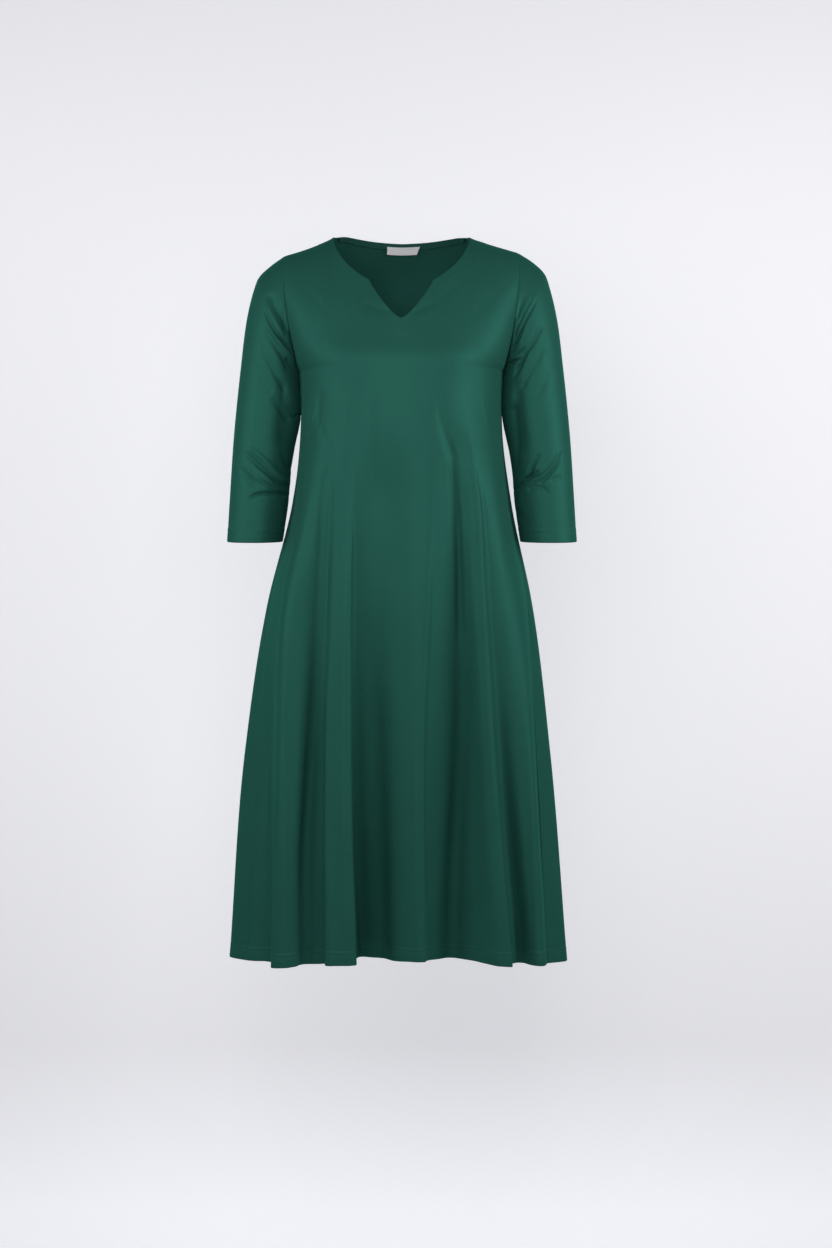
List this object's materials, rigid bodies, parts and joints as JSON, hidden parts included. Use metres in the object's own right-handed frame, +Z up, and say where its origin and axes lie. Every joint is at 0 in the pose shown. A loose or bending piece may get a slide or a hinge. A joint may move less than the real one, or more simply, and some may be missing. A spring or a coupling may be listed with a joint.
{
  "type": "a-line dress",
  "caption": "Green a-line midi dress in firm knit with a notched split neckline and three-quarter sleeves, in the hollow shape it has when worn.",
  "frame": {"origin": "midway between the shoulders, level with the high shoulder points beside the neck, where the wearer's shoulders hold the dress up", "axes": "+Z up along the wearer's body, -Y towards the front of the dress, +X towards the wearer's left"},
  "size_m": [0.5259, 0.288, 1.0997],
  "materials": {
    "front_panel": "firm double knit with a satin face, emerald green",
    "back_panel": "firm double knit with a satin face, emerald green",
    "sleeve_right": "firm double knit with a satin face, emerald green",
    "sleeve_left": "firm double knit with a satin face, emerald green",
    "back_neck_tape": "folded band of the same knit, dull side out",
    "neck_label": "smooth woven label, silver grey, blank"
  },
  "bodies": {
    "root": {"front_panel": "front_panel", "back_panel": "back_panel", "sleeve_right": "sleeve_right", "sleeve_left": "sleeve_left", "back_neck_tape": "back_neck_tape", "neck_label": "neck_label"}
  },
  "joints": []
}
